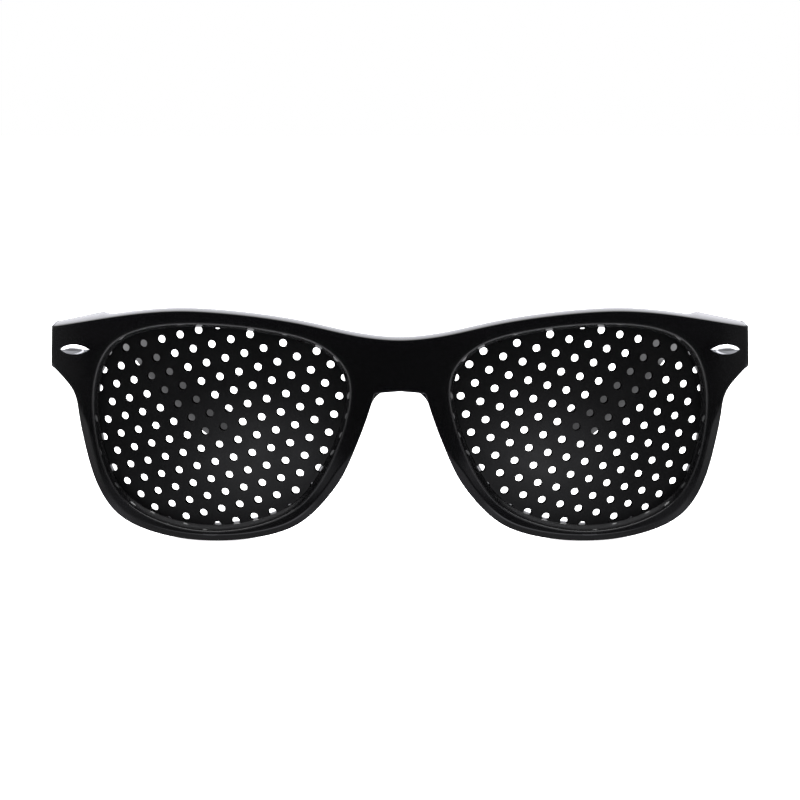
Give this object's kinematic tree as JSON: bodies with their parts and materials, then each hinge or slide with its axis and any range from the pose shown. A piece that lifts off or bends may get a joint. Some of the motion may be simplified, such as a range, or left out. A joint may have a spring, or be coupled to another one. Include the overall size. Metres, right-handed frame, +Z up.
{
  "type": "pinhole glasses",
  "caption": "Black plastic pinhole glasses: a moulded front with curved opaque lenses pierced by a lattice of small round holes, and two folding temples.",
  "frame": {"origin": "on the ground under the middle of the open glasses' bounding box", "axes": "+X to the right in the view from the front, +Y from the front towards the temple tips, +Z up; at rest the glasses stand open on the two rims and the two temple tips"},
  "size_m": [0.1474, 0.152, 0.0499],
  "materials": {
    "frame_plastic": "glossy",
    "lens_plastic": "satin",
    "stud_metal": "polished",
    "hinge_metal": "brushed",
    "screw_metal": "turned"
  },
  "bodies": {
    "front": {"front_frame": "frame_plastic", "lens_left": "lens_plastic", "lens_right": "lens_plastic", "front_stud_left": "stud_metal", "front_stud_right": "stud_metal", "front_hinge_left": "hinge_metal", "front_hinge_right": "hinge_metal", "hinge_screw_left": "screw_metal", "hinge_screw_right": "screw_metal"},
    "temple_left": {"temple_left": "frame_plastic", "temple_hinge_left": "hinge_metal", "temple_stud_left": "stud_metal"},
    "temple_right": {"temple_right": "frame_plastic", "temple_hinge_right": "hinge_metal", "temple_stud_right": "stud_metal"}
  },
  "joints": [
    {"name": "fold_left", "type": "hinge", "parent": "front", "child": "temple_left", "pos_m": [-0.0674, -0.06046, 0.04188], "axis": [0, -0.1115, -0.9938], "range_deg": [0, 82]},
    {"name": "fold_right", "type": "hinge", "parent": "front", "child": "temple_right", "pos_m": [0.0674, -0.06046, 0.04188], "axis": [0, 0.1115, 0.9938], "range_deg": [0, 68]}
  ]
}
